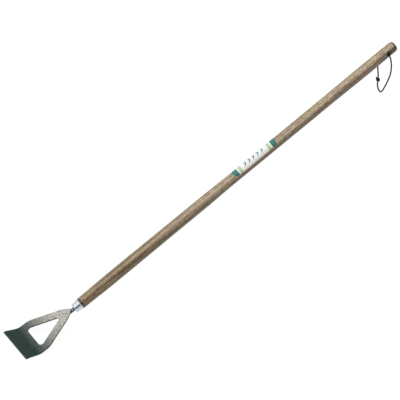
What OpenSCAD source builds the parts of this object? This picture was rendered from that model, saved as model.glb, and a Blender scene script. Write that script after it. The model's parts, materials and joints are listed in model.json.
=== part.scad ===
// Dutch hoe: a pressed steel push hoe on a long stained ash shaft.
// It is drawn as it is used: the blade lies flat on the ground, its cutting edge faces -X,
// the shaft rises towards +X, and the origin is the middle of the blade's flat sole.
// All sizes are in millimetres and all angles in degrees.

/* [Shaft] */
// Length of wood that shows, from the ferrule to the rounded end
shaft_len = 1220; // [1100:10:1500]
// Rise of the shaft above the ground while the blade lies flat
shaft_rise = 32; // [26:1:44]
// Diameter where the wood meets the ferrule
toe_d = 35; // [34:0.5:37]
// Diameter of the swell above the ferrule
swell_d = 38; // [36:0.5:42]
// Distance of the swell from the ferrule
swell_at = 120; // [80:5:250]
// Diameter at the end of the thicker lower part
lower_d = 36.4; // [34:0.2:40]
// Distance of that end from the ferrule
lower_to = 470; // [300:10:520]
// Diameter of the slim middle, which carries the label
waist_d = 33; // [32:0.5:35]
// Distance of the slim middle from the ferrule
waist_from = 580; // [560:5:640]
// Length of the slim middle
waist_len = 350; // [200:5:400]
// Diameter of the butt, the end that the hand closes on
butt_d = 34.8; // [33:0.2:40]
// Length of the butt
butt_len = 120; // [60:5:130]
// Diameter of the butt where its rounding starts
butt_end_d = 33.6; // [32:0.2:40]
// Rounding of the butt's edge
butt_round = 12; // [4:0.5:15]
// Small chamfer on the wood at the ferrule
toe_chamfer = 0.8; // [0.4:0.1:1]

/* [Ferrule] */
// Length of the ferrule
ferrule_len = 25; // [20:1:40]
// Outer diameter at the wood
ferrule_d = 32.5; // [31:0.5:33]
// Outer diameter at the neck
ferrule_front_d = 28.5; // [26:0.5:31]
// Thickness of the drawn sheet
ferrule_wall = 1.4; // [1:0.1:2]
// Diameter of the mouth that the tang comes out of
ferrule_mouth_d = 17; // [14:0.5:20]
// Rounding of the front edge
ferrule_round = 2.6; // [1.5:0.1:4]

/* [Tang] */
// Diameter of the round steel bar
tang_d = 12; // [10:0.5:13]
// Diameter of the spike at its tip
tang_tip_d = 7; // [4:0.5:9]
// Depth of the spike in the wood above the ferrule
tang_depth = 110; // [60:5:160]
// Length of bare neck between the ferrule and the plate
neck_len = 10; // [6:1:30]
// Length of bar welded under the plate
tang_lap = 40; // [28:1:44]
// Step by which the bar is drawn down where it lies under the plate
lap_step = 0.3; // [0.2:0.1:0.6]
// Depth of the flat ground on the bar to seat the plate
tang_flat = 0.6; // [0.3:0.1:1.5]
// Chamfer on the bar's hidden end
tang_chamfer = 2; // [1:0.5:3]
// Radius of each weld bead
weld_r = 3.2; // [2.5:0.1:4]
// How far each bead stops short of the ends of the lap
weld_inset = 8.5; // [8:0.5:12]

/* [Head plate] */
// Thickness of the plate
plate_t = 4.2; // [2.5:0.1:5]
// Width of the cutting edge
blade_w = 150; // [120:1:180]
// Depth of the flat sole from the cutting edge to the bend
blade_depth = 39; // [25:1:60]
// How far each end of the cutting edge flares beyond the shoulder
blade_flare = 4.5; // [2:0.5:8]
// Width of the bevel on the upper side of the cutting edge
bevel_w = 7; // [3:0.5:12]
// Thickness left at the cutting edge
edge_t = 0.8; // [0.4:0.1:1.5]
// Radius of the bend, on its upper side
bend_r = 38; // [20:1:60]
// Angle by which the arms rise less than the shaft
arm_dip = 2.4; // [1:0.1:5]
// Half of the angle between the arms
arm_splay = 26; // [22:0.5:30]
// Width of an arm, square to its length
arm_w = 26.5; // [20:0.5:30]
// Radius of the shoulders
shoulder_r = 45; // [20:1:50]
// Radius of the round nose over the bar
nose_r = 7; // [5:0.5:9]
// How far the nose lies inside the lines of the arms' sides
nose_trim = 7; // [3:0.5:9]
// Radius of the curve from the arms' sides into the nose
tip_r = 100; // [60:5:160]

/* [Window] */
// Width of the window's base between its sides' lines
window_w = 101.5; // [80:0.5:110]
// Strip of plate between the bend and the window
window_setback = 5.5; // [4:0.5:15]
// Radius of the window's two lower corners
window_corner_r = 10; // [5:0.5:14]
// Radius of the window's apex
window_apex_r = 8; // [4:0.5:12]

/* [Label] */
// Length of the label along the shaft
label_len = 164; // [80:2:180]
// Distance of the label from the start of the slim middle
label_inset = 17; // [5:1:20]
// Angle of the shaft that the label wraps
label_wrap = 130; // [120:2:180]
// Thickness of the label
label_t = 0.2; // [0.1:0.05:0.4]
// Radius of the label's corners
label_corner_r = 14; // [6:0.5:14]

/* [Hanging cord] */
// Diameter of the cord
cord_d = 4.5; // [2:0.25:5]
// Diameter of the hole through the butt
cord_hole_d = 9.5; // [7:0.25:11]
// Distance of the hole from the rounded end
cord_hole_in = 34; // [24:1:60]
// Thickness of the knot's wraps over the cord
knot_d = 12.5; // [9:0.25:14]
// Number of wraps in the knot
knot_wraps = 2; // [2:1:5]
// Length of each loose tail at the knot
tail_len = 6.5; // [6:0.5:12]

/* [Clearances] */
// Gap between the wood and the steel that is driven into it or over it
fit_gap = 0.1; // [0.05:0.05:0.2]
// Film of glue under the label
glue_gap = 0.05; // [0.02:0.01:0.1]
// Gap left where the cord rests on the wood
rest_gap = 0.25; // [0.1:0.05:0.3]

/* [Hidden] */
$fn = 96;
cut = 1; // how far a cutting shape runs past what it cuts
trim_lead = 0.2; // how far outside an edge the curve that trims it starts
ease_steps = 6; // straight pieces in each curved stretch of the shaft's side
arc_step = 3; // degrees between the points of a sampled arc
cord_sides = 8;
cord_steps = 2; // rings for each stretch between two points of the cord's route
tail_lean = 55; // angle between a loose tail and the knot
tail_turn = 35; // turn of both tails round the knot

// Side view of the plate: flat sole, bend, then straight arms.
arm_rise = shaft_rise - arm_dip;
edge_x = -blade_depth / 2;
heel_x = blade_depth / 2;
outer_bend_r = bend_r + plate_t;
bend_end = [heel_x + outer_bend_r * sin(arm_rise), 0, outer_bend_r * (1 - cos(arm_rise))];

// Plan of the arms, measured along them from the end of the bend.
shoulder_w = blade_w - 2 * blade_flare;
window_base = window_w / 2;
arm_line = window_base + arm_w / cos(arm_splay) + window_setback * tan(arm_splay);
nose_x = (arm_line - (nose_r + nose_trim) / cos(arm_splay)) / tan(arm_splay);
arm_len = nose_x + nose_r;

// The bar lies under the plate's tip and kinks there into the line of the shaft.
lap_d = tang_d - 2 * lap_step;
seat_h = lap_d / 2 - tang_flat;
arm_dir = [cos(arm_rise), 0, sin(arm_rise)];
arm_normal = [-sin(arm_rise), 0, cos(arm_rise)];
shaft_dir = [cos(shaft_rise), 0, sin(shaft_rise)];
kink = bend_end + arm_len * arm_dir - seat_h * arm_normal;
toe = kink + (neck_len + ferrule_len) * shaft_dir;
cord_hole = toe + (shaft_len - cord_hole_in) * shaft_dir;

// Stations along the shaft's side, as distance from the ferrule and diameter.
waist_to = waist_from + waist_len;
butt_from = shaft_len - butt_len;
side_stations = [
    [0, toe_d],
    [swell_at, swell_d],
    [lower_to, lower_d],
    [waist_from, waist_d],
    [waist_to, waist_d],
    [butt_from, butt_d],
    [shaft_len - butt_round, butt_end_d]
];

// The knot stands upright, and the cord runs straight into both of its ends.
knot_at = [42, -128]; // across and up from the hole
knot_len = cord_d * knot_wraps + 1;
knot_top = knot_at[1] + knot_len / 2;
knot_foot = knot_at[1] - knot_len / 2;
cord_rest = -(cord_hole_d / 2 - cord_d / 2 - rest_gap); // the cord lies on the hole's lower wall

// Route of the loop in the upright plane through the hole, as distance across (+Y) and up (+Z)
// from the hole's middle: up the far strand, through the hole, down the near strand and back.
cord_route = [
    [knot_at[0], knot_top], [42, -114], [44, -103], [47, -87], [47.5, -69], [45.5, -50], [41.5, -33],
    [35.5, -18], [28, -7.5], [20, cord_rest], [8, cord_rest], [-8, cord_rest], [-20, cord_rest],
    [-27, -7], [-32, -17], [-34.5, -32], [-33.5, -50], [-28.5, -69], [-19.5, -90], [-9, -112],
    [2, -133], [12, -150], [19, -158.5], [28, -162.5], [37, -160], [42.5, -152.5], [43.5, -144],
    [knot_at[0], knot_foot]
];

function eased(a, b, t) = a + (b - a) * (1 - cos(180 * t)) / 2;

function side_points() = [
    for (i = [0 : len(side_stations) - 2])
        let (
            a = side_stations[i],
            b = side_stations[i + 1],
            steps = a[1] == b[1] ? 1 : ease_steps
        )
        for (j = [0 : steps - 1])
            [eased(a[1], b[1], j / steps) / 2, a[0] + (b[0] - a[0]) * j / steps]
];

// Points of an arc from one angle to another, both ends included.
function arc(centre, r, from, to) =
    let (n = max(2, ceil(abs(to - from) / arc_step)))
    [for (i = [0 : n]) let (a = from + (to - from) * i / n) centre + r * [cos(a), sin(a)]];

function without_first(list) = [for (i = [1 : len(list) - 1]) list[i]];

function reversed(list) = [for (i = [len(list) - 1 : -1 : 0]) list[i]];

function mirrored(points) = [for (p = reversed(points)) [p[0], -p[1]]];

// One point of the smooth curve through four neighbouring points of a route.
function curve_point(a, b, c, d, t) =
    0.5 * (2 * b + (c - a) * t + (2 * a - 5 * b + 4 * c - d) * t * t + (3 * b - a - 3 * c + d) * t * t * t);

function smooth_route(route, steps) =
    let (last = len(route) - 1)
    concat(
        [for (i = [0 : last - 1])
            let (
                before = i == 0 ? 2 * route[0] - route[1] : route[i - 1],
                after = i == last - 1 ? 2 * route[last] - route[last - 1] : route[i + 2]
            )
            for (j = [0 : steps - 1]) curve_point(before, route[i], route[i + 1], after, j / steps)],
        [route[last]]
    );

function unit(v) = v / norm(v);

// Ring of points round one place of a route that lies in the YZ plane.
function cord_ring(line, i) =
    let (
        last = len(line) - 1,
        // both ends of the route run straight up into the knot
        along = i == 0 || i == last ? [0, 1] : unit(line[i + 1] - line[i - 1]),
        side = [-along[1], along[0]]
    )
    [for (k = [0 : cord_sides - 1])
        let (a = 360 * (k + 0.5) / cord_sides, off = cord_d / 2 * sin(a) * side)
        [cord_d / 2 * cos(a), line[i][0] + off[0], line[i][1] + off[1]]];

// Frame of the shaft: +Z runs up the wood from the ferrule, -X is the side that faces up.
module on_shaft() {
    translate(toe) rotate([0, 90 - shaft_rise, 0]) children();
}

// Frame of the arms: +X runs up them from the bend, and the plate's underside is at Z = 0.
module on_arms() {
    translate(bend_end) rotate([0, -arm_rise, 0]) children();
}

// Frame of the bar under the plate: +Z runs down the slope from the kink.
module on_lap() {
    on_arms() translate([arm_len, 0, -seat_h]) rotate([0, -90, 0]) children();
}

// The wood inside the ferrule, or the hollow of the ferrule that goes over it.
module ferrule_core(gap) {
    bottom = -ferrule_len + ferrule_wall;
    slope = (ferrule_d - ferrule_front_d) / 2 / ferrule_len;
    top_r = ferrule_d / 2 - ferrule_wall - gap;
    translate([0, 0, bottom]) cylinder(r1 = top_r + slope * bottom, r2 = top_r, h = -bottom);
}

// The spike in the wood, or with a gap the socket that it is driven into.
module tang_spike(gap) {
    bar_r = tang_d / 2 + gap;
    tip_radius = tang_tip_d / 2 + gap;
    rotate_extrude()
        polygon([
            [0, -ferrule_len - neck_len],
            [bar_r, -ferrule_len - neck_len],
            [bar_r, 0],
            [tip_radius, tang_depth + gap],
            [0, tang_depth + gap]
        ]);
}

module shaft() {
    shoulder = butt_end_d / 2 - butt_round;
    side = side_points();
    color("#8f7a5e") on_shaft() difference() {
        union() {
            rotate_extrude()
                polygon(concat(
                    [[0, 0], [toe_d / 2 - toe_chamfer, 0], [toe_d / 2, toe_chamfer]],
                    [for (p = side) if (p[1] > toe_chamfer) p],
                    arc([shoulder, shaft_len - butt_round], butt_round, 0, 90),
                    [[0, shaft_len]]
                ));
            ferrule_core(fit_gap);
        }
        tang_spike(fit_gap);
        translate([0, 0, shaft_len - cord_hole_in])
            rotate([90, 0, 0])
            cylinder(d = cord_hole_d, h = butt_d + 2 * cut, center = true);
    }
}

module ferrule() {
    front_r = ferrule_front_d / 2;
    corner = [front_r - ferrule_round, -ferrule_len + ferrule_round];
    color("#c8ced4") on_shaft() difference() {
        rotate_extrude()
            polygon(concat(
                [[ferrule_mouth_d / 2, 0], [ferrule_mouth_d / 2, -ferrule_len]],
                arc(corner, ferrule_round, -90, 0),
                [[ferrule_d / 2, 0]]
            ));
        ferrule_core(0);
    }
}

module tang() {
    color("#3d4441") difference() {
        union() {
            on_shaft() tang_spike(0);
            on_lap() {
                translate([0, 0, -cut]) cylinder(d = lap_d, h = tang_lap - tang_chamfer + cut);
                translate([0, 0, tang_lap - tang_chamfer])
                    cylinder(d1 = lap_d, d2 = lap_d - 2 * tang_chamfer, h = tang_chamfer);
            }
        }
        on_arms() translate([arm_len - tang_lap - tang_d, -tang_d, 0])
            cube([tang_lap + tang_d + 2 * cut, 2 * tang_d, tang_d]);
    }
}

// One bead lies in the groove on each side of the bar, against the plate's underside.
module tang_welds() {
    bead_y = lap_d / 2;
    bead_x = seat_h - weld_r / 3;
    color("#2f3634") on_lap() difference() {
        for (side = [-1, 1]) translate([bead_x, side * bead_y, 0]) {
            translate([0, 0, weld_inset]) cylinder(r = weld_r, h = tang_lap - 2 * weld_inset);
            for (end = [weld_inset, tang_lap - weld_inset]) translate([0, 0, end]) sphere(r = weld_r);
        }
        translate([0, 0, -cut]) cylinder(d = lap_d, h = tang_lap + 2 * cut);
        translate([seat_h, -tang_d - weld_r, -cut])
            cube([2 * weld_r, 2 * (tang_d + weld_r), tang_lap + 2 * cut]);
    }
}

// Side view of the plate: bevelled edge, flat sole, bend and straight arms.
module plate_profile() {
    bend_c = [heel_x, outer_bend_r];
    bend_to = -90 + arm_rise;
    arm_run = (arm_len + cut) * [cos(arm_rise), sin(arm_rise)];
    underside = arc(bend_c, outer_bend_r, -90, bend_to);
    upper_side = arc(bend_c, bend_r, bend_to, -90);
    polygon(concat(
        [[edge_x, edge_t], [edge_x, 0]],
        underside,
        [underside[len(underside) - 1] + arm_run, upper_side[0] + arm_run],
        upper_side,
        [[edge_x + bevel_w, plate_t]]
    ));
}

// What is trimmed off both sides of the blade and the bend, so that the sides flare to the edge.
module blade_offcuts() {
    flare_from = bend_end[0] - plate_t * sin(arm_rise);
    run = flare_from - edge_x;
    flare_r = (run * run + blade_flare * blade_flare) / (2 * blade_flare);
    flare_turn = asin((run + cut) / flare_r);
    outside = blade_flare + 2 * cut;
    for (side = [0, 1]) mirror([0, side]) translate([flare_from, shoulder_w / 2])
        polygon(concat(
            arc([0, flare_r], flare_r, -90 - flare_turn, -90),
            [[shoulder_r / 2, 0], [shoulder_r / 2, outside], [-run - cut, outside]]
        ));
}

// Plan of the two arms without their window: shoulders, straight sides and a round nose.
module arms_plan() {
    half = shoulder_w / 2 + trim_lead;
    corner_x = (arm_line - half) / tan(arm_splay);
    shoulder_c = [corner_x - shoulder_r * tan(arm_splay / 2), half - shoulder_r];
    // the tip's curve touches the arm's side and goes over into the nose
    along = [cos(arm_splay), -sin(arm_splay)];
    out = [sin(arm_splay), cos(arm_splay)];
    tip_drop = tip_r - nose_r - nose_trim;
    tip_run = sqrt(pow(tip_r - nose_r, 2) - pow(tip_drop, 2));
    tip_c = [nose_x, 0] - tip_run * along - tip_drop * out;
    side_turn = 90 - arm_splay;
    nose_turn = side_turn - atan2(tip_run, tip_drop);
    edge = concat(
        [[-2 * cut, half]],
        arc(shoulder_c, shoulder_r, 90, side_turn),
        arc(tip_c, tip_r, side_turn, nose_turn),
        without_first(arc([nose_x, 0], nose_r, nose_turn, 0))
    );
    polygon(concat(edge, without_first(mirrored(edge))));
}

// The window's sides run parallel to the arms' edges, with round corners.
module window_plan() {
    side_turn = 90 - arm_splay;
    corner = [
        window_setback + window_corner_r,
        window_base - window_corner_r * (tan(arm_splay) + 1 / cos(arm_splay))
    ];
    apex = [window_setback + (window_base - window_apex_r / cos(arm_splay)) / tan(arm_splay), 0];
    edge = concat(
        arc(corner, window_corner_r, 180, side_turn),
        arc(apex, window_apex_r, side_turn, 0)
    );
    polygon(concat(edge, without_first(mirrored(edge))));
}

// One strip is bent, then trimmed to its outline and pierced.
module head_plate() {
    color("#6f766f") difference() {
        rotate([90, 0, 0]) linear_extrude(height = blade_w, center = true) plate_profile();
        translate([0, 0, -cut]) linear_extrude(height = 2 * outer_bend_r) blade_offcuts();
        on_arms() translate([0, 0, -cut]) linear_extrude(height = plate_t + 2 * cut) {
            difference() {
                translate([-cut, -blade_w / 2 - cut]) square([arm_len + 3 * cut, blade_w + 2 * cut]);
                arms_plan();
            }
            window_plan();
        }
    }
}

// A thin sheet round the upper side of the shaft, with its four corners rounded.
module label() {
    inner_r = waist_d / 2 + glue_gap;
    outer_r = inner_r + label_t;
    corner_turn = asin(label_corner_r / outer_r);
    color("#e9ecea") on_shaft() translate([0, 0, waist_from + label_inset]) difference() {
        rotate([0, 0, 180 - label_wrap / 2])
            rotate_extrude(angle = label_wrap)
            translate([inner_r, 0]) square([label_t, label_len]);
        for (side = [-1, 1], end = [0, 1])
            rotate([0, 0, 180 + side * (label_wrap / 2 - corner_turn)])
            translate([0, 0, end * label_len])
            mirror([0, 0, end])
            rotate([90, 0, 90])
            mirror([side < 0 ? 1 : 0, 0])
            linear_extrude(height = outer_r + cut)
            polygon(concat(
                arc([trim_lead, label_corner_r - trim_lead], label_corner_r, -90, 0),
                [[outer_r + cut, label_corner_r - trim_lead], [outer_r + cut, -cut], [trim_lead, -cut]]
            ));
    }
}

module hang_cord() {
    line = smooth_route(cord_route, cord_steps);
    rings = len(line);
    color("#1d1d1f") translate(cord_hole)
        polyhedron(
            points = [for (i = [0 : rings - 1]) each cord_ring(line, i)],
            faces = concat(
                [reversed([for (k = [0 : cord_sides - 1]) k])],
                [[for (k = [0 : cord_sides - 1]) (rings - 1) * cord_sides + k]],
                [for (i = [0 : rings - 2], k = [0 : cord_sides - 1])
                    let (a = i * cord_sides, b = a + cord_sides, n = (k + 1) % cord_sides)
                    each [[a + k, a + n, b + n], [a + k, b + n, b + k]]]
            )
        );
}

// A tail leaves the knot beside the cord and leans away from it.
module knot_tail() {
    translate([0, knot_d / 2 - cord_d / 3, knot_len / 2 - cord_d]) rotate([-tail_lean, 0, 0]) {
        cylinder(d = cord_d, h = tail_len - cord_d / 2);
        translate([0, 0, tail_len - cord_d / 2]) sphere(d = cord_d);
    }
}

module cord_knot() {
    color("#1d1d1f") translate(cord_hole + [0, knot_at[0], knot_at[1]]) {
        cylinder(d = knot_d - cord_d, h = knot_len, center = true);
        for (i = [0 : knot_wraps - 1])
            translate([0, 0, (i - (knot_wraps - 1) / 2) * cord_d])
            rotate_extrude() translate([knot_d / 2 - cord_d / 2, 0]) circle(d = cord_d);
        rotate([0, 0, tail_turn]) knot_tail();
        rotate([180, 0, tail_turn]) knot_tail();
    }
}

shaft();
ferrule();
tang();
tang_welds();
head_plate();
label();
hang_cord();
cord_knot();
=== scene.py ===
# %% [markdown]
# # Dressing a dutch hoe
# A dutch hoe is a push hoe: a bent and pierced steel plate, welded to a bar that is driven into a long
# ash shaft, with a thin cord loop through the shaft to hang it by. The solids come from the CAD model
# and are already in their places, so this lesson only adds what the eye wants: a braided cord with its
# knot, the finishes, the light and the camera. All lengths are in metres.

import json
import math

import bpy
import numpy as np
from mathutils import Euler, Matrix, Vector


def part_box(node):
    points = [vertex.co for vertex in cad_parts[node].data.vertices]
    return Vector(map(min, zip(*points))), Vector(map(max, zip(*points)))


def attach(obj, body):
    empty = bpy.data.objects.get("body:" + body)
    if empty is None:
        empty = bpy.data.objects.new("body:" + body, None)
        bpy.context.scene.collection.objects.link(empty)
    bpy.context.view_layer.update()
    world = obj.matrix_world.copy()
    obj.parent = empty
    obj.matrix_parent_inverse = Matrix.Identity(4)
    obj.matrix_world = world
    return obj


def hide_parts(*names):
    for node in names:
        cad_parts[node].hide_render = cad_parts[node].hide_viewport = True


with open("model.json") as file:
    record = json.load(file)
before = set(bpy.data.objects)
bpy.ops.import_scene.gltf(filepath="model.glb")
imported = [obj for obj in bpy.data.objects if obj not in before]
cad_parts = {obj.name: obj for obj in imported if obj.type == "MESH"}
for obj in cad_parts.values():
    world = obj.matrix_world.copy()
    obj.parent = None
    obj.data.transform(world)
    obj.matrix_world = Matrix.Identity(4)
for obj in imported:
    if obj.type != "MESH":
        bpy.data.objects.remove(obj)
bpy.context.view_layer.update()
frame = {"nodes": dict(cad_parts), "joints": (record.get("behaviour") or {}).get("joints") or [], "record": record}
nodes = frame["nodes"]

# %% [markdown]
# ## Camera
# The photograph was taken from far away, so parallel lines stay parallel. A camera with an orthographic
# lens would do that too, but a very long lens a long way off looks the same, and it still frames the
# object when it is moved round it. The camera looks down on the blade from the front left.

# %% Camera at the photograph's angle
mm = 0.001
photo_side = 400  # pixels
metres_per_pixel = 2.991 * mm
view_turn = math.radians(-29.02)  # round the upright, from looking along +Y
view_tilt = math.radians(35.68)  # above the horizon
view_roll = math.radians(2.68)
view_middle = Vector((0.5806, -0.0177, 0.3708))  # the point in the middle of the picture
view_distance = 48.0
sensor_side = 36.0  # millimetres, as is the lens
farthest_seen = 200.0

to_camera = Vector((
    math.sin(view_turn) * math.cos(view_tilt),
    -math.cos(view_turn) * math.cos(view_tilt),
    math.sin(view_tilt),
))
camera_data = bpy.data.cameras.new("photo_camera")
camera_data.sensor_width = sensor_side
camera_data.lens = sensor_side * view_distance / (photo_side * metres_per_pixel)
camera_data.clip_end = farthest_seen
camera = bpy.data.objects.new("photo_camera", camera_data)
bpy.context.collection.objects.link(camera)
aim = (-to_camera).to_track_quat("-Z", "Y").to_matrix()
camera.matrix_world = (
    Matrix.Translation(view_middle + view_distance * to_camera)
    @ (aim @ Matrix.Rotation(view_roll, 3, "Z")).to_4x4()
)
bpy.context.scene.camera = camera
print(f"camera: {camera_data.lens:.0f} mm lens, {view_distance:.0f} m away")

# %% [markdown]
# ## Hanging cord
# The loop is one length of thin braided cord. It lies on the floor of the cross hole, drops on both
# sides of the shaft and closes in a knot on the far strand. A curve with a round bevel would give a
# smooth rubber tube. Here the tube is a mesh, because then the strands of the braid can stand out:
# each ring of points follows the line, and a diamond pattern pushes the points in between strands.

# %% The cord's route
hinge = next(j for j in frame["joints"] if j["name"] == "loop_swing")
hole = Vector(hinge["pos_m"])
cord_thickness = 0.0045
cord_rest = -0.00225  # the cord lies on the hole's lower wall
cord_route = [  # across (+Y) and up (+Z) from the hole's middle
    (0, cord_rest), (-0.008, cord_rest), (-0.02, cord_rest), (-0.027, -0.007), (-0.032, -0.017),
    (-0.0345, -0.032), (-0.0335, -0.05), (-0.0285, -0.069), (-0.0195, -0.09), (-0.009, -0.112),
    (0.002, -0.133), (0.012, -0.15), (0.019, -0.1585), (0.028, -0.1625), (0.037, -0.16),
    (0.0425, -0.1525), (0.0435, -0.144), (0.042, -0.133), (0.042, -0.123), (0.042, -0.114),
    (0.044, -0.103), (0.047, -0.087), (0.0475, -0.069), (0.0455, -0.05), (0.0415, -0.033),
    (0.0355, -0.018), (0.028, -0.0075), (0.02, cord_rest), (0.008, cord_rest), (0, cord_rest),
]


def smooth_line(points, steps=24):
    """Points of the smooth curve that runs through all the given points (Catmull-Rom)."""
    p = np.array([2 * points[0] - points[1], *points, 2 * points[-1] - points[-2]])
    t = np.linspace(0, 1, steps, endpoint=False)[:, None]
    spans = [
        0.5 * (2 * b + (c - a) * t + (2 * a - 5 * b + 4 * c - d) * t**2 + (3 * b - a - 3 * c + d) * t**3)
        for a, b, c, d in zip(p, p[1:], p[2:], p[3:])
    ]
    return np.vstack([*spans, p[-2:-1]])


def evenly_spaced(line, step):
    """The same line with its points a step apart, and its length."""
    travel = np.concatenate([[0], np.cumsum(np.linalg.norm(np.diff(line, axis=0), axis=1))])
    stops = np.linspace(0, travel[-1], int(round(travel[-1] / step)) + 1)
    return np.column_stack([np.interp(stops, travel, line[:, k]) for k in range(3)]), travel[-1]


ring_step = 0.00055
loop_points = np.array([(hole.x, hole.y + across, hole.z + up) for across, up in cord_route])
loop_line, loop_length = evenly_spaced(smooth_line(loop_points), ring_step)
print(f"cord: {len(loop_line)} rings along {loop_length:.3f} m")

# %% The braided tube
diamonds_round = 8  # strand crossings round the cord
diamond_length = 0.0024  # one crossing along the cord
points_round = 24
groove_depth = 0.00016  # between strands
end_rings = 4  # rings that round off a melted end
end_start = 0.3  # of a ring, so that the last ring isn't a point


def ring_frames(line):
    """Two side directions at each point of the line, square to it and never twisting."""
    along = np.gradient(line, axis=0)
    along /= np.linalg.norm(along, axis=1)[:, None]
    side = [np.cross(along[0], (0.0, 1.0, 0.0) if abs(along[0][1]) < 0.9 else (1.0, 0.0, 0.0))]
    for a in along[1:]:
        side.append(side[-1] - np.dot(side[-1], a) * a)
    side = np.array([s / np.linalg.norm(s) for s in side])
    return side, np.cross(along, side)


def braided_tube(name, line):
    """A closed mesh tube of braided strands along the line, with its two ends melted round."""
    side, other = ring_frames(line)
    rings = len(line)
    turn = np.linspace(0, 2 * math.pi, points_round, endpoint=False)
    run = np.arange(rings)[:, None] * ring_step * math.pi / diamond_length
    cross = diamonds_round / 2 * turn[None, :]
    strand = np.sqrt(np.abs(np.sin(cross + run) * np.sin(cross - run)))
    radius = cord_thickness / 2 - groove_depth * (1 - strand)
    near_end = np.minimum(np.arange(rings), np.arange(rings)[::-1])
    melt = np.sqrt(1 - np.clip(1 - (near_end + end_start) / end_rings, 0, 1) ** 2)
    radius *= melt[:, None]
    ring = np.cos(turn)[None, :, None] * side[:, None] + np.sin(turn)[None, :, None] * other[:, None]
    points = line[:, None] + radius[..., None] * ring
    last_ring = (rings - 1) * points_round
    around = [(k, (k + 1) % points_round) for k in range(points_round)]
    faces = [
        (first + a, first + b, first + points_round + b, first + points_round + a)
        for first in range(0, last_ring, points_round) for a, b in around
    ]
    faces.append(tuple(range(points_round))[::-1])
    faces.append(tuple(range(last_ring, last_ring + points_round)))
    mesh = bpy.data.meshes.new(name)
    mesh.from_pydata(points.reshape(-1, 3).tolist(), [], faces)
    mesh.polygons.foreach_set("use_smooth", [True] * len(mesh.polygons))
    mesh.attributes.new("strand", "FLOAT", "POINT").data.foreach_set("value", strand.ravel())
    tube = bpy.data.objects.new(name, mesh)
    bpy.context.collection.objects.link(tube)
    return tube


hanging_cord = braided_tube("hanging_cord", loop_line)
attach(hanging_cord, "hang_loop")
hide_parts("hang_cord")
print("hanging cord:", len(hanging_cord.data.polygons), "faces")

# %% [markdown]
# ## Knot
# The two ends of the cord meet in a small barrel knot: one end is wound round both strands a few times,
# and a short tail of each sticks out. It is drawn with the same braided tube on another line, which
# comes in along one tail, winds down the strand as a helix and leaves along the other tail.

# %% The barrel knot
knot_middle = np.array(hole) + (0, 0.042, -0.128)
knot_turns = 1.75
knot_wind_radius = 0.0041  # from the strand's middle to the middle of the cord round it
tail_length = 0.004
tail_lean = math.radians(55)  # from upright
tail_turn = math.radians(125)  # where the upper tail leaves, round the strand
tail_shares = (0.25, 0.5, 0.75, 1.0)  # of a tail's length, where its points lie
wind_points = 96

wind = np.linspace(0, 2 * math.pi * knot_turns, wind_points)
wind_drop = knot_turns * cord_thickness
helix = np.column_stack([
    knot_wind_radius * np.cos(tail_turn + wind),
    knot_wind_radius * np.sin(tail_turn + wind),
    wind_drop * (0.5 - wind / wind[-1]),
])


def tail_points(foot, sign):
    """Points out from a foot of the helix to the end of a tail, leaning away from the strand."""
    outward = np.array([foot[0], foot[1], 0]) / knot_wind_radius
    way = outward * math.sin(tail_lean) + np.array([0, 0, sign * math.cos(tail_lean)])
    return [foot + way * tail_length * share for share in tail_shares]


turns = helix[2:-2:3]  # every third point, clear of the tails' feet
knot_points = np.array([*tail_points(helix[0], 1)[::-1], *turns, *tail_points(helix[-1], -1)])
knot_line, knot_cord = evenly_spaced(smooth_line(knot_points), ring_step)
cord_knot = braided_tube("barrel_knot", knot_line + knot_middle)
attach(cord_knot, "hang_loop")
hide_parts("cord_knot")
print(f"knot: {knot_cord:.3f} m of cord in {knot_turns} turns")

# %% [markdown]
# ## Three helpers for the finishes
# Colours are written as the hex values that a paint chart or a picture shows. Blender's shaders count
# light, not screen values, so each one is turned to linear first. A node graph is made of many nodes of
# the same pattern, so one small function adds any of them, with its settings and its links. The third
# helper starts a new finish with an empty graph.

# %% Colour and node helpers
def linear(hex_colour):
    """A hex colour as the linear RGBA that shaders use."""
    screen = [int(hex_colour[i:i + 2], 16) / 255 for i in (1, 3, 5)]
    return (*[c / 12.92 if c <= 0.04045 else ((c + 0.055) / 1.055) ** 2.4 for c in screen], 1.0)


def add(tree, kind, sockets=None, out=None, **settings):
    """Adds a node and returns its first output, or the one named. Settings are the node's properties;
    sockets are values, or outputs of other nodes to link."""
    node = tree.nodes.new("ShaderNode" + kind)
    for name, value in settings.items():
        setattr(node, name, value)
    for name, value in (sockets or {}).items():
        shown = [s for s in node.inputs if s.enabled]
        socket = shown[name] if isinstance(name, int) else next(s for s in shown if s.name == name)
        if isinstance(value, bpy.types.NodeSocket):
            tree.links.new(value, socket)
        else:
            socket.default_value = value
    return node.outputs[out] if out else next((s for s in node.outputs if s.enabled), None)


def finish_named(name):
    """A new material for a finish, and its empty node tree."""
    material = bpy.data.materials.new(name)
    material.use_nodes = True
    material.node_tree.nodes.clear()
    return material, material.node_tree


print("mid grey #808080 is", round(linear("#808080")[0], 3), "in linear light")

# %% [markdown]
# ## Stained ash
# The shaft is turned ash with a brown stain and a thin clear varnish. Ash has wide growth rings, and the
# stain sinks into the open pores of each ring's first wood, so the eye gets long dark streaks on a paler
# ground, with pointed arches where the shaft cuts a ring at a shallow angle. A flat pattern wrapped round
# the shaft would show a seam and go wrong at the ends. Here the rings are true cylinders round a heart
# that lies beside the shaft, so the grain also turns right on the rounded end. Real rings are about
# 2.5 mm wide, finer than a pixel of the picture, so they are drawn wider.

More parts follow.
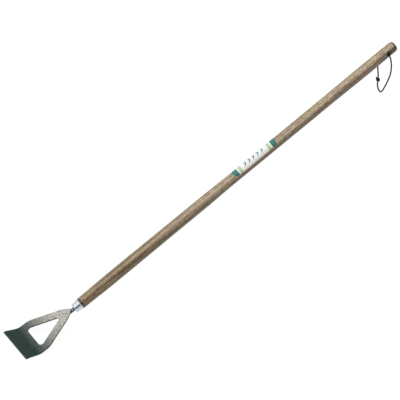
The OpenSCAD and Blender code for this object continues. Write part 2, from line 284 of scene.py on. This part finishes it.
# %% Wood coordinates and rings
up_shaft = Vector(next(m for m in frame["record"]["mounts"] if m["name"] == "hand_grip")["axis"])
shaft_lean = Euler((0, math.atan2(up_shaft.x, up_shaft.z), 0))  # turns +Z into the shaft's line
ring_width = 6.5 * mm
heart_distance = 54.5 * mm  # the tree's heart, from the shaft's middle
# The painted shade of the shaft falls on this side too.
heart_side = Vector((0.711, -0.704, 0.0))  # below the shaft and to its near side
heart_tilt = (math.radians(0.3), math.radians(0.3), 0)
waver_width, waver_stretch, waver_size = 30 * mm, 0.1, 9 * mm
first_ring = 2 * math.pi * 0.3  # part of a turn, so that a pale ring comes to the upper side
wave_repeat = math.pi / 10  # one wave of the Wave Texture node, at a scale of 1
ash, tree = finish_named("stained_ash")
place = add(tree, "TexCoord", out="Object")
wood = add(tree, "Mapping", {"Vector": place, "Location": hole, "Rotation": shaft_lean},
           vector_type="TEXTURE")
slow_place = add(tree, "Mapping", {"Vector": wood, "Scale": (1, 1, waver_stretch)})
waver = add(tree, "TexNoise", {"Vector": slow_place, "Scale": 1 / waver_width, "Detail": 2.0},
            out="Color")
sway = add(tree, "VectorMath", {0: waver, 1: (waver_size, waver_size, 0)}, operation="MULTIPLY")
heart = add(tree, "Mapping", {"Vector": wood, "Location": -heart_distance * heart_side,
                              "Rotation": heart_tilt})
ring_place = add(tree, "VectorMath", {0: heart, 1: sway}, operation="ADD")
rings = add(tree, "TexWave", {"Vector": ring_place, "Scale": wave_repeat / ring_width,
                              "Phase Offset": first_ring}, out="Fac",
            wave_type="RINGS", rings_direction="Z", wave_profile="SAW")
print(f"ash: leans {math.degrees(shaft_lean.y):.1f} degrees, rings {ring_width / mm:.1f} mm wide")

# %% [markdown]
# ## Streaks, flecks, pores and painted shade
# Wood is a bundle of fibres, so its marks are much longer than they are wide. Noise that is drawn out
# along the shaft gives them: long streaks, fine streaks, and short flecks where a fibre comes to the
# surface. Real pores are 0.3 mm wide. They are drawn as the fine streaks within the first wood of each
# ring, 2.6 mm wide, which is as fine as shows. The side of the shaft towards the tree's heart, below it
# and to its near side, is darkened as painted shade.

# %% Streaks, flecks, pores and painted shade
smooth = {"interpolation_type": "SMOOTHSTEP"}  # makes a Map Range node change softly
side_shade_starts, side_shade_full = 0.5 * mm, 4 * mm  # painted shade, nearer to the heart than the shaft's middle
tone_width = 22 * mm  # slow changes of tone


def along_grain(width, length, detail):
    """Noise drawn out along the shaft, for marks of this width and length."""
    stretched = add(tree, "Mapping", {"Vector": wood, "Scale": (1, 1, width / length)})
    return add(tree, "TexNoise", {"Vector": stretched, "Scale": 1 / width, "Detail": detail,
                                  "Roughness": 0.6}, out="Fac")


long_noise = along_grain(6.5 * mm, 340 * mm, detail=3.0)
fine_noise = along_grain(2.6 * mm, 110 * mm, detail=2.0)
fleck_noise = along_grain(3.2 * mm, 11 * mm, detail=2.0)
patches = along_grain(11 * mm, 100 * mm, detail=2.0)
tone = add(tree, "TexNoise", {"Vector": slow_place, "Scale": 1 / tone_width, "Detail": 3.0}, out="Fac")
long_streaks = add(tree, "MapRange", {"Value": long_noise, "From Min": 0.38, "From Max": 0.6}, **smooth)
fine_streaks = add(tree, "MapRange", {"Value": fine_noise, "From Min": 0.46, "From Max": 0.66}, **smooth)
dark_flecks = add(tree, "MapRange", {"Value": fleck_noise, "From Min": 0.46, "From Max": 0.6}, **smooth)
pale_flecks = add(tree, "MapRange", {"Value": fleck_noise, "From Min": 0.48, "From Max": 0.36}, **smooth)
early_wood = add(tree, "MapRange", {"Value": rings, "From Min": 0.35, "From Max": 1.0}, **smooth)
pores = add(tree, "Math", {0: early_wood, 1: fine_streaks}, operation="MULTIPLY")
across_rings = add(tree, "VectorMath", {0: ring_place, 1: (1, 1, 0)}, operation="MULTIPLY")
from_heart = add(tree, "VectorMath", {0: across_rings}, out="Value", operation="LENGTH")
# Painted shade on the side of the shaft towards the tree's heart.
shaded_side = add(tree, "MapRange", {
    "Value": from_heart,
    "From Min": heart_distance - side_shade_starts, "From Max": heart_distance - side_shade_full,
}, **smooth)
print("ash streaks:", len(tree.nodes), "nodes so far")

# %% [markdown]
# ## Grain lines, painted highlights and painted shade
# Here and there a ring comes to the surface as one long dark line. Noise would never put such a line in
# its place, so each is listed one by one. Two pale lines are painted highlights, a dark line along the
# lower edge is painted shade, and a wide dark band lies along the upper edge. A line is a strip on the
# shaft: its distance above the shaft's middle, a lean or a bow, a width, and the stretch of the shaft
# where it shows.

# %% Grain lines, painted highlights and painted shade
toe = -1.186  # where the wood meets the ferrule, along the shaft from the hole
line_waver = 6 * mm  # how far a line strays, from side to side
line_core, line_full = 0.3, 0.5  # the shares of its half width and half length that show in full
up_wood = add(tree, "SeparateXYZ", {"Vector": wood}, out="Z")
from_toe = add(tree, "Math", {0: up_wood, 1: toe}, operation="SUBTRACT")
above_axis = add(tree, "VectorMath", {0: wood, 1: -heart_side}, out="Value", operation="DOT_PRODUCT")


def grain_line(offset, half_width, middle, half_length, lean=0.0, bow=0.0):
    """One long streak. At the toe it lies this far above the shaft's middle, and it leans and bows down
    from there. It shows round a place along the shaft, for half its length each way."""
    slope = add(tree, "Math", {0: from_toe, 1: bow, 2: lean}, operation="MULTIPLY_ADD")
    level = add(tree, "Math", {0: slope, 1: from_toe, 2: above_axis}, operation="MULTIPLY_ADD")
    wavy = add(tree, "Math", {0: patches, 1: line_waver, 2: level}, operation="MULTIPLY_ADD")
    beside = add(tree, "Math", {0: wavy, 1: offset + line_waver / 2}, operation="SUBTRACT")
    from_line = add(tree, "Math", {0: beside}, operation="ABSOLUTE")
    in_width = add(tree, "MapRange", {
        "Value": from_line, "From Min": half_width, "From Max": line_core * half_width,
    }, **smooth)
    along = add(tree, "Math", {0: up_wood, 1: middle}, operation="SUBTRACT")
    from_place = add(tree, "Math", {0: along}, operation="ABSOLUTE")
    in_length = add(tree, "MapRange", {
        "Value": from_place, "From Min": half_length, "From Max": line_full * half_length,
    }, **smooth)
    return add(tree, "Math", {0: in_width, 1: in_length}, operation="MULTIPLY")


# Painted highlights: the two pale lines.
highlight_upper = grain_line(8.4 * mm, 3.0 * mm, middle=-0.85, half_length=0.60, lean=0.0075)
highlight_middle = grain_line(1.2 * mm, 3.6 * mm, middle=-0.79, half_length=0.24, lean=0.003)
dark_sweep = grain_line(-0.4 * mm, 2.2 * mm, middle=-1.05, half_length=0.30, bow=0.18)
dark_run = grain_line(-2.2 * mm, 1.8 * mm, middle=-0.97, half_length=0.16, lean=0.006)
# Painted shade along the lower edge.
shaded_lower_edge = grain_line(-10.5 * mm, 4.5 * mm, middle=-0.80, half_length=0.18)
dark_rim = grain_line(17.0 * mm, 6.0 * mm, middle=-1.05, half_length=0.60)
highlight_upper_share = add(tree, "Math", {0: highlight_upper, 1: 0.55}, operation="MULTIPLY")
highlight_lines = add(tree, "Math", {0: highlight_middle, 1: 0.3, 2: highlight_upper_share}, operation="MULTIPLY_ADD")
dark_arch = add(tree, "Math", {0: dark_sweep, 1: dark_run}, operation="MAXIMUM")
dark_grain_and_shade = add(tree, "Math", {0: dark_arch, 1: shaded_lower_edge}, operation="MAXIMUM")
dark_lines_and_shade = add(tree, "Math", {0: dark_rim, 1: 0.4, 2: dark_grain_and_shade}, operation="MULTIPLY_ADD")
print("wood between its hole and the ferrule:", -toe, "m")

# %% [markdown]
# ## Dirt, end grain and painted shade
# End grain drinks more stain than the sides do, so the rounded end is nearly black, and only its flat
# face still shows the rings; on the shaded lower side its dark reaches further, as painted shade. Round
# the cord's hole the wood is darkened, partly by dirt and partly as painted shadow of the hole and the
# cord. The wood is dirty where it meets the ferrule, and the underside near the end is darkened as
# painted shade. Painting these on by hand would need a picture file, or many more points in the mesh.
# Instead each mark is a soft limit on a place or on the way that the surface faces, and noise makes
# some of their edges uneven.

# %% Dirt and painted shadow at the hole, dirt at the ferrule
mottle_size = 5.5 * mm  # the blotches that make an edge of dirt uneven
toe_dirt_reach, toe_dirt_fade = 6 * mm, 3 * mm  # how far the dirt climbs the wood, and its soft edge
# The dark round the hole is partly dirt and partly painted shadow of the hole and the cord.
hole_mark_middle = (-2.6 * mm, 0.0, 2.8 * mm)  # the cord's dirt reaches up from the hole
hole_mark_edge, hole_mark_core = 9.8 * mm, 7.8 * mm
mottle = add(tree, "TexNoise", {"Vector": place, "Scale": 1 / mottle_size, "Detail": 2.0}, out="Fac")
dirt_reach = add(tree, "MapRange", {
    "Value": mottle, "From Min": 0.35, "From Max": 0.65, "To Max": toe_dirt_reach,
})
above_dirt = add(tree, "Math", {0: up_wood, 1: dirt_reach}, operation="SUBTRACT")
toe_dirt = add(tree, "MapRange", {
    "Value": above_dirt, "From Min": toe + toe_dirt_fade, "From Max": toe,
}, **smooth)
beside_hole = add(tree, "VectorMath", {0: wood, 1: (1, 0, 1)}, operation="MULTIPLY")
hole_mark_distance = add(tree, "VectorMath", {0: beside_hole, 1: hole_mark_middle}, out="Value",
                    operation="DISTANCE")
# Dirt and painted shadow round the hole.
hole_dirt_and_shadow = add(tree, "MapRange", {
    "Value": hole_mark_distance, "From Min": hole_mark_edge, "From Max": hole_mark_core,
}, **smooth)
print(f"dirt: {hole_mark_edge / mm:.1f} mm round the hole, {toe_dirt_reach / mm:.1f} mm above the ferrule")

# %% The rounded end
mottle_weight, shade_weight = 1.6, 0.4  # how much each of them spreads the dark of the end
ring_bareness = 0.24  # the stain that is missing between the rings of the flat face
shade_starts, shade_full = -8 * mm, 12 * mm  # along the shaft, from the hole
shade_above, shade_below = 3 * mm, -9 * mm  # from the shaft's middle
normal = add(tree, "NewGeometry", out="Normal")
facing_end = add(tree, "VectorMath", {0: normal, 1: up_shaft}, out="Value", operation="DOT_PRODUCT")
on_end = add(tree, "MapRange", {"Value": facing_end, "From Min": 0.05, "From Max": 0.3}, **smooth)
on_face = add(tree, "MapRange", {"Value": facing_end, "From Min": 0.8, "From Max": 0.97}, **smooth)
blotched = add(tree, "Math", {0: mottle, 1: mottle_weight, 2: facing_end}, operation="MULTIPLY_ADD")
# The end's dark spreads further on that shaded side, as painted shade.
sided = add(tree, "Math", {0: shaded_side, 1: shade_weight, 2: blotched}, operation="MULTIPLY_ADD")
spots = add(tree, "MapRange", {"Value": sided, "From Min": 1.2, "From Max": 1.5}, **smooth)
end_spots = add(tree, "Math", {0: spots, 1: on_end}, operation="MULTIPLY")
late_wood = add(tree, "MapRange", {"Value": early_wood, "To Min": ring_bareness, "To Max": 0.0})
face_rings = add(tree, "Math", {0: late_wood, 1: on_face}, operation="MULTIPLY")
end_grain = add(tree, "Math", {0: end_spots, 1: face_rings}, operation="SUBTRACT")
# Painted shade on the underside, past the hole towards the end.
under_side = add(tree, "MapRange", {
    "Value": above_axis, "From Min": shade_above, "From Max": shade_below,
}, **smooth)
past_hole = add(tree, "MapRange", {
    "Value": up_wood, "From Min": shade_starts, "From Max": shade_full, "To Max": 0.7,
})
end_shade = add(tree, "Math", {0: under_side, 1: past_hole}, operation="MULTIPLY")
# End grain, dirt, painted shadow and painted shade, in one mask.
worn_and_shaded = end_grain
for mark in (toe_dirt, hole_dirt_and_shadow, end_shade):
    worn_and_shaded = add(tree, "Math", {0: worn_and_shaded, 1: mark}, operation="MAXIMUM")
print("ash with its worn marks:", len(tree.nodes), "nodes so far")

# %% [markdown]
# ## Colour of the ash
# The marks lie over each other like coats of paint, from the pale ground to the dirt and the painted
# shade. A list says of each where it shows, how strongly, in which colour and how it is laid on, and a
# loop builds the coats: another mark is one more line. Some coats are painted highlights and painted
# shade. The varnish gives a soft gloss. It sinks into the pores, so these are duller and lie a little
# lower.

# %% Coats of the stained ash
pale, warm, dark = linear("#efdec1"), linear("#b2946a"), linear("#443626")
# This pale also paints the highlights.
pale_grain_and_highlight = linear("#f6ead6")
# Of these, the first paints shade on one side, and the last paints end grain, dirt and shade.
side_shade_colour, low_stain, end_stain_and_shade = linear("#8d7c66"), linear("#cabfa9"), linear("#18120e")
low_starts, low_full = -0.35, -1.1  # the wood darkens towards the toe, along the shaft from the hole
low_end = add(tree, "MapRange", {"Value": up_wood, "From Min": low_starts, "From Max": low_full}, **smooth)
ring_depth = add(tree, "MapRange", {"Value": patches, "From Min": 0.3, "From Max": 0.7, "To Max": 0.55})
line_depth = add(tree, "MapRange", {"Value": fine_streaks, "To Min": 0.45, "To Max": 0.8})
side_shade_depth = add(tree, "MapRange", {"Value": low_end, "To Min": 0.6, "To Max": 0.15})
coats = [  # where it shows, how strongly, its colour, and how it is laid on
    (tone, 0.7, warm, "MIX"),
    (long_streaks, 0.9, warm, "MIX"),
    (early_wood, ring_depth, dark, "MIX"),
    (dark_flecks, 0.46, dark, "MIX"),
    (pale_flecks, 0.2, pale_grain_and_highlight, "MIX"),
    (pores, 0.85, dark, "MIX"),
    # dark grain lines, with painted shade along the lower edge
    (dark_lines_and_shade, line_depth, dark, "MIX"),
    # painted highlights
    (highlight_lines, 1.0, pale_grain_and_highlight, "MIX"),
    # painted shade on the side towards the tree's heart
    (shaded_side, side_shade_depth, side_shade_colour, "MULTIPLY"),
    (low_end, 1.0, low_stain, "MULTIPLY"),
    # end grain, dirt, painted shadow and painted shade
    (worn_and_shaded, 0.97, end_stain_and_shade, "MIX"),
]
wood_colour = pale
for mask, depth, tint, blend in coats:
    share = add(tree, "Math", {0: mask, 1: depth}, operation="MULTIPLY")
    wood_colour = add(tree, "Mix", {"Factor": share, "A": wood_colour, "B": tint},
                      data_type="RGBA", blend_type=blend)
print("coats of colour on the ash:", len(coats))

# %% Stained ash on the shaft
pore_depth = 0.2 * mm
gloss = add(tree, "MapRange", {"Value": pores, "To Min": 0.36, "To Max": 0.6})
relief = add(tree, "Bump", {"Height": pores, "Strength": 0.35, "Distance": pore_depth}, invert=True)
shader = add(tree, "BsdfPrincipled", {
    "Base Color": wood_colour, "Roughness": gloss, "IOR": 1.5, "Normal": relief,
    "Coat Weight": 0.25, "Coat Roughness": 0.25,
})
add(tree, "OutputMaterial", {"Surface": shader})
nodes["shaft"].material_slots[0].material = ash
print("stained ash:", len(tree.nodes), "nodes")

# %% [markdown]
# ## Polished ferrule
# The ferrule is a cup drawn from thin steel, bright plated and polished on a lathe. Polished metal has
# no colour of its own to speak of: what it shows is the room, in bands along the cup. Fine polishing
# lines run round it. They are finer than 0.1 mm, so they are drawn 0.9 mm apart to show at all. The rim
# at the wood is left satin, where the polishing wheel stopped short of the varnish.

# %% Bright plated steel on the ferrule
polish_spacing, polish_stretch = 0.9 * mm, 0.05  # the lines are drawn out round the cup
polish_depth = 0.1 * mm
haze_size = 8 * mm  # faint patches of tarnish
rim_starts, rim_full = toe - 5 * mm, toe - 2 * mm  # the satin rim, along the shaft from the hole
plated, tree = finish_named("polished_plated_steel")
place = add(tree, "TexCoord", out="Object")
cup = add(tree, "Mapping", {"Vector": place, "Location": hole, "Rotation": shaft_lean},
          vector_type="TEXTURE")
round_place = add(tree, "Mapping", {"Vector": cup, "Scale": (polish_stretch, polish_stretch, 1)})
lines = add(tree, "TexNoise", {"Vector": round_place, "Scale": 1 / polish_spacing, "Detail": 2.0},
            out="Fac")
haze = add(tree, "TexNoise", {"Vector": cup, "Scale": 1 / haze_size, "Detail": 4.0}, out="Fac")
polish = add(tree, "MapRange", {"Value": haze, "From Min": 0.3, "From Max": 0.75,
                                "To Min": 0.2, "To Max": 0.3})
up_cup = add(tree, "SeparateXYZ", {"Vector": cup}, out="Z")
rim = add(tree, "MapRange", {"Value": up_cup, "From Min": rim_starts, "From Max": rim_full,
                             "To Max": 0.35}, **smooth)
dull = add(tree, "Math", {0: polish, 1: rim}, operation="ADD")
shade = add(tree, "Mix", {"Factor": haze, "A": linear("#ced2d7"), "B": linear("#bcc2c9")},
            data_type="RGBA")
relief = add(tree, "Bump", {"Height": lines, "Strength": 0.12, "Distance": polish_depth})
shader = add(tree, "BsdfPrincipled", {"Base Color": shade, "Metallic": 1.0, "Roughness": dull,
                                      "Normal": relief})
add(tree, "OutputMaterial", {"Surface": shader})
nodes["ferrule"].material_slots[0].material = plated
print("polished plated steel:", len(tree.nodes), "nodes")

# %% [markdown]
# ## Dark bar and welds
# The bar under the plate's tip is hot-rolled steel that was dipped in a dark paint, and the two welds
# along it keep the ripples that each drop of weld metal froze into. A weld ripple is about 1.5 mm long.
# It could be cut into the mesh, but a bump on the finish is enough at that size, and it is drawn at its
# real length. Between the plate and the ferrule one small bright spot is a painted highlight.

# %% Painted rolled steel on the bar
ripple_length, ripple_depth = 1.6 * mm, 0.2 * mm
scale_size = 3 * mm  # the patches of mill scale under the paint
# A painted highlight: a small bright spot on the bar's upper side.
highlight_spot = (0.17015, -0.0043, 0.07845)  # on the bar's upper side, between the plate and the ferrule
highlight_edge, highlight_core = 3.6 * mm, 1.2 * mm
bar_paint, tree = finish_named("painted_rolled_steel")
place = add(tree, "TexCoord", out="Object")
scale_marks = add(tree, "TexNoise", {"Vector": place, "Scale": 1 / scale_size, "Detail": 4.0,
                                     "Roughness": 0.65}, out="Fac")
paint_shade = add(tree, "Mix", {"Factor": scale_marks, "A": linear("#2c343c"), "B": linear("#6b7680")},
                  data_type="RGBA")
highlight_distance = add(tree, "VectorMath", {0: place, 1: highlight_spot}, out="Value", operation="DISTANCE")
painted_highlight = add(tree, "MapRange", {"Value": highlight_distance, "From Min": highlight_edge, "From Max": highlight_core}, **smooth)
shade = add(tree, "Mix", {"Factor": painted_highlight, "A": paint_shade, "B": linear("#bcc6d0")}, data_type="RGBA")
dull = add(tree, "MapRange", {"Value": scale_marks, "To Min": 0.12, "To Max": 0.3})
ripples = add(tree, "TexWave", {"Vector": place, "Scale": wave_repeat / ripple_length,
                                "Distortion": 1.5, "Detail Scale": 2.0}, out="Fac", bands_direction="X")
rough_height = add(tree, "Math", {0: scale_marks, 1: ripples}, operation="ADD")
relief = add(tree, "Bump", {"Height": rough_height, "Strength": 0.25, "Distance": ripple_depth})
shader = add(tree, "BsdfPrincipled", {"Base Color": shade, "Metallic": 0.8, "Roughness": dull,
                                      "IOR": 1.5, "Normal": relief})
add(tree, "OutputMaterial", {"Surface": shader})
for name in ("tang", "tang_welds"):
    nodes[name].material_slots[0].material = bar_paint
print("painted rolled steel:", len(tree.nodes), "nodes")

# %% [markdown]
# ## Rounded plate edges
# The plate was blanked, bent and dipped, so its edges are slightly round. The CAD mesh has sharp edges
# and one flat facet for every few degrees of bend. Four modifiers soften it without moving a point of
# the mesh itself: Weld joins the facets, Decimate clears the triangles of flat faces, Bevel rounds the
# edges, and Weighted Normal makes the bend shade as one curve.

# %% Modifiers on the head plate
edge_round = 0.0005
same_point = 1e-6
flat_angle = math.radians(0.5)  # faces that meet at less are one flat
edge_angle = math.radians(35)  # faces that meet at more have an edge to round
plate = nodes["head_plate"]
plate.modifiers.new("join_facets", "WELD").merge_threshold = same_point
flat_faces = plate.modifiers.new("clear_flats", "DECIMATE")
flat_faces.decimate_type = "DISSOLVE"
flat_faces.angle_limit = flat_angle
round_edges = plate.modifiers.new("round_edges", "BEVEL")
round_edges.width = edge_round
round_edges.segments = 2
round_edges.limit_method = "ANGLE"
round_edges.angle_limit = edge_angle
plate.modifiers.new("smooth_bend", "WEIGHTED_NORMAL").weight = 80
plate.data.polygons.foreach_set("use_smooth", [True] * len(plate.data.polygons))
print("head plate:", len(plate.modifiers), "modifiers, edges rounded by", edge_round, "m")

# %% [markdown]
# ## Hammer-effect enamel
# The plate's paint is a hammer-effect enamel: grey-green with metal flakes, which draws itself into
# small cells as it dries. Each cell is a smooth low cushion with a dark line round it, 4 to 5 mm across.
# Voronoi cells give that pattern: the distance to a cell's edge is both the cushion's height and the
# line's darkness. The flakes make the paint half metallic, so the arms flash where they face the light;
# their pale grey is also painted in, a painted reflection that fades out towards the flat blade, which
# stays dark green. The faces of the plate's edges that look sideways are painted darker, as painted
# shade.

# %% Cells of the enamel
cell_size, crook_size = 4.6 * mm, 0.6 * mm
cell_line = 0.22  # how far the dark line reaches into a cell, as a share of the cell size
enamel, tree = finish_named("hammer_effect_enamel")
place = add(tree, "TexCoord", out="Object")
crook = add(tree, "TexNoise", {"Vector": place, "Scale": 1 / cell_size, "Detail": 1.0}, out="Color")
crooked = add(tree, "VectorMath", {0: crook, 1: (crook_size,) * 3, 2: place}, operation="MULTIPLY_ADD")
cell_edge = add(tree, "TexVoronoi", {"Vector": crooked, "Scale": 1 / cell_size},
                feature="DISTANCE_TO_EDGE")
cell_tint = add(tree, "TexVoronoi", {"Vector": crooked, "Scale": 1 / cell_size}, out="Color")
cushion = add(tree, "MapRange", {"Value": cell_edge, "From Min": 0.0, "From Max": cell_line}, **smooth)
print(f"enamel cells: {cell_size / mm:.1f} mm")

# %% Hammer-effect enamel on the plate
blade_end, arm_start = 0.016, 0.138  # the painted reflection starts at the first and is full from the second
cushion_height = 0.3 * mm
from_edge = add(tree, "SeparateXYZ", {"Vector": place}, out="X")
# Painted reflection: the arms are painted pale grey.
arms_reflection = add(tree, "MapRange", {
    "Value": from_edge, "From Min": blade_end, "From Max": arm_start,
}, **smooth)
# Painted shade: faces that look sideways are darkened.
sideways = add(tree, "SeparateXYZ", {"Vector": add(tree, "NewGeometry", out="Normal")}, out="Y")
how_sideways = add(tree, "Math", {0: sideways}, operation="ABSOLUTE")
edge_shade = add(tree, "MapRange", {"Value": how_sideways, "From Min": 0.25, "From Max": 0.6})
# The second colour of each is the painted reflection on the arms.
cell_colour = add(tree, "Mix", {"Factor": arms_reflection, "A": linear("#304a44"), "B": linear("#dbd6d0")},
                  data_type="RGBA")
line_colour = add(tree, "Mix", {"Factor": arms_reflection, "A": linear("#1b2c28"), "B": linear("#8a8781")},
                  data_type="RGBA")
lined = add(tree, "Mix", {"Factor": cushion, "A": line_colour, "B": cell_colour}, data_type="RGBA")
tinted = add(tree, "Mix", {"Factor": 0.12, "A": lined, "B": cell_tint}, data_type="RGBA",
             blend_type="SOFT_LIGHT")
edged = add(tree, "Mix", {"Factor": edge_shade, "A": tinted, "B": linear("#25332e")}, data_type="RGBA")
dull = add(tree, "MapRange", {"Value": cushion, "To Min": 0.55, "To Max": 0.36})
relief = add(tree, "Bump", {"Height": cushion, "Strength": 0.4, "Distance": cushion_height})
shader = add(tree, "BsdfPrincipled", {"Base Color": edged, "Metallic": 0.6, "Roughness": dull,
                                      "IOR": 1.5, "Normal": relief})
add(tree, "OutputMaterial", {"Surface": shader})
plate.material_slots[0].material = enamel
print("hammer-effect enamel:", len(tree.nodes), "nodes")

# %% [markdown]
# ## Sticker
# A long printed sticker of white vinyl lies on the upper side of the shaft. Its print is a plain design:
# teal ends, pale green bands beside them and a row of teal chevrons along the white middle. No picture
# file is needed for that. Two coordinates are enough, one along the shaft and one across it, and each
# band is a test on where a point lies between its two edges.

# %% Places on the sticker
label_low, label_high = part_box("label")
label_middle = (label_low + label_high) / 2
sticker, tree = finish_named("printed_vinyl")
place = add(tree, "TexCoord", out="Object")
on_label = add(tree, "Mapping", {"Vector": place, "Location": label_middle, "Rotation": shaft_lean},
               vector_type="TEXTURE")
along_label = add(tree, "SeparateXYZ", {"Vector": on_label}, out="Z")
across_label = along_label.node.outputs["Y"]
from_middle = add(tree, "Math", {0: along_label}, operation="ABSOLUTE")
from_line = add(tree, "Math", {0: across_label}, operation="ABSOLUTE")
print("sticker middle:", [round(v, 3) for v in label_middle])

# %% The print
teal_from = 0.064  # from the middle of the sticker to its teal ends
green_middle, green_half = 0.0545, 0.0045
row_half_length, row_half_width = 0.042, 0.0075
chevron_spacing, chevron_slope, chevron_share = 0.016, 0.9, 0.3
teal, green, white = linear("#3a7d76"), linear("#bcd8a4"), linear("#fdfefd")
teal_end = add(tree, "Math", {0: from_middle, 1: teal_from}, operation="GREATER_THAN")
green_band = add(tree, "Math", {0: from_middle, 1: green_middle, 2: green_half}, operation="COMPARE")
slant = add(tree, "Math", {0: from_line, 1: chevron_slope, 2: along_label}, operation="MULTIPLY_ADD")
step = add(tree, "Math", {0: slant, 1: chevron_spacing}, operation="FLOORED_MODULO")
stripe = add(tree, "Math", {0: step, 1: chevron_spacing * chevron_share}, operation="LESS_THAN")
in_length = add(tree, "Math", {0: from_middle, 1: row_half_length}, operation="LESS_THAN")
in_width = add(tree, "Math", {0: from_line, 1: row_half_width}, operation="LESS_THAN")
in_row = add(tree, "Math", {0: in_length, 1: in_width}, operation="MULTIPLY")
chevrons = add(tree, "Math", {0: stripe, 1: in_row}, operation="MULTIPLY")
printed = white
for mask, ink in ((green_band, green), (teal_end, teal), (chevrons, teal)):
    printed = add(tree, "Mix", {"Factor": mask, "A": printed, "B": ink}, data_type="RGBA")
print("print: chevrons", chevron_spacing, "m apart")

# %% Printed vinyl on the label
ripple_size, ripple_height = 12 * mm, 0.2 * mm  # where the film doesn't lie quite flat
ripple = add(tree, "TexNoise", {"Vector": on_label, "Scale": 1 / ripple_size, "Detail": 2.0}, out="Fac")
scuff = add(tree, "MapRange", {"Value": ripple, "To Min": 0.25, "To Max": 0.45})
relief = add(tree, "Bump", {"Height": ripple, "Strength": 0.2, "Distance": ripple_height})
shader = add(tree, "BsdfPrincipled", {"Base Color": printed, "Roughness": scuff, "IOR": 1.5,
                                      "Normal": relief})
add(tree, "OutputMaterial", {"Surface": shader})
nodes["label"].material_slots[0].material = sticker
print("printed vinyl:", len(tree.nodes), "nodes")

# %% [markdown]
# ## Black cord
# The cord is braided polyester, dyed black. Its raised strands are painted a little lighter, as a painted
# highlight, and the gaps between them darker, as painted shade. The mesh already carries how far each
# point stands out of its groove, so the finish reads that value instead of drawing a second braid on top.

# %% Braided polyester on the cord and knot
fluff_size = 0.6 * mm  # about the width of one yarn
polyester, tree = finish_named("braided_polyester")
strand = add(tree, "Attribute", out="Fac", attribute_name="strand")
place = add(tree, "TexCoord", out="Object")
fluff = add(tree, "TexNoise", {"Vector": place, "Scale": 1 / fluff_size, "Detail": 2.0}, out="Fac")
# Painted highlight on the strands, painted shade in the gaps.
strand_light = add(tree, "Math", {0: strand, 1: fluff}, operation="MULTIPLY")
shade = add(tree, "Mix", {"Factor": strand_light, "A": linear("#08080a"), "B": linear("#141417")},
            data_type="RGBA")
shader = add(tree, "BsdfPrincipled", {"Base Color": shade, "Roughness": 0.6, "IOR": 1.5,
                                      "Sheen Weight": 0.03, "Specular IOR Level": 0.2})
add(tree, "OutputMaterial", {"Surface": shader})
for piece in (hanging_cord, cord_knot):
    piece.data.materials.append(polyester)
print("braided polyester:", len(tree.nodes), "nodes")

# %% [markdown]
# ## Floor and light
# The photograph has a white ground and almost no shadow. Product photographers get that with a sheet of
# white acrylic that is lit from below, so most of the floor's white here is its own glow, and the lights
# add the rest. The lights are soft round patches of the room itself, with no lamps: a main light on the
# left, a second behind it that the arms of the plate mirror to the camera, and a third beyond the
# shaft's end. The flat blade mirrors none of them and stays dark. Round them the room is pale near the
# horizon behind the hoe and dim elsewhere, which gives the polished ferrule its bands. The floor is kept
# out of diffuse bounces: otherwise its white would fill the shaft's shadow side.

# %% Pale floor
floor_reach = 40.0
floor_gap = 0.0005  # a hair under the sole, so that the two never share a plane
floor_glow = 0.89  # the light from below
clouds_per_metre = 6.0  # a faint unevenness of the sheet
corners = [(-1, -1), (1, -1), (1, 1), (-1, 1)]
floor_mesh = bpy.data.meshes.new("floor")
floor_mesh.from_pydata([(floor_reach * x, floor_reach * y, 0) for x, y in corners], [], [(0, 1, 2, 3)])
floor = bpy.data.objects.new("floor", floor_mesh)
floor.location.z = -floor_gap
floor.visible_diffuse = False
bpy.context.collection.objects.link(floor)
acrylic, tree = finish_named("lit_white_acrylic")
place = add(tree, "TexCoord", out="Object")
cloud = add(tree, "TexNoise", {"Vector": place, "Scale": clouds_per_metre}, out="Fac")
shade = add(tree, "Mix", {"Factor": cloud, "A": linear("#626261"), "B": linear("#656564")},
            data_type="RGBA")
shader = add(tree, "BsdfPrincipled", {
    "Base Color": shade, "Roughness": 0.9, "Specular IOR Level": 0.0,
    "Emission Color": linear("#ffffff"), "Emission Strength": floor_glow,
})
add(tree, "OutputMaterial", {"Surface": shader})
floor_mesh.materials.append(acrylic)
print("floor:", 2 * floor_reach, "m wide")

# %% The room
wall_power, dim_power = 0.6, 0.2  # added near the horizon behind the hoe, and everywhere
room = bpy.data.worlds.new("pale_room")
bpy.context.scene.world = room
room.use_nodes = True
tree = room.node_tree
tree.nodes.clear()
ray = add(tree, "TexCoord", out="Generated")
upward = add(tree, "SeparateXYZ", {"Vector": ray}, out="Z")
backward = upward.node.outputs["Y"]
steepness = add(tree, "Math", {0: upward}, operation="ABSOLUTE")
low = add(tree, "MapRange", {"Value": steepness, "From Min": 0.05, "From Max": 0.42,
                             "To Min": wall_power, "To Max": 0.0}, **smooth)
behind = add(tree, "MapRange", {"Value": backward, "From Min": -0.2, "From Max": 0.5}, **smooth)
brightness = add(tree, "Math", {0: low, 1: behind, 2: dim_power}, operation="MULTIPLY_ADD")
print("room: power", dim_power, "to", wall_power + dim_power)

# %% Soft lights
lights = [  # the way to it, the angles in degrees where it is full and where it ends, and its power
    ((-0.53, -0.13, 0.84), 14, 38, 1.35),  # the main light, on the left
    ((-0.34, 0.69, 0.64), 16, 38, 0.9),  # mirrored by the arms of the plate
    ((0.52, -0.08, 0.85), 20, 42, 2.1),  # beyond the shaft's end
]
for toward, core, fade, power in lights:
    facing = add(tree, "VectorMath", {0: ray, 1: Vector(toward).normalized()}, out="Value",
                 operation="DOT_PRODUCT")
    lamp = add(tree, "MapRange", {
        "Value": facing, "To Min": 0.0, "To Max": power,
        "From Min": math.cos(math.radians(fade)), "From Max": math.cos(math.radians(core)),
    }, **smooth)
    brightness = add(tree, "Math", {0: brightness, 1: lamp}, operation="ADD")
sky = add(tree, "Background", {"Strength": brightness, "Color": linear("#ffffff")})
add(tree, "OutputWorld", {"Surface": sky})
bpy.context.scene.view_settings.view_transform = "Standard"
print("soft lights:", len(lights))
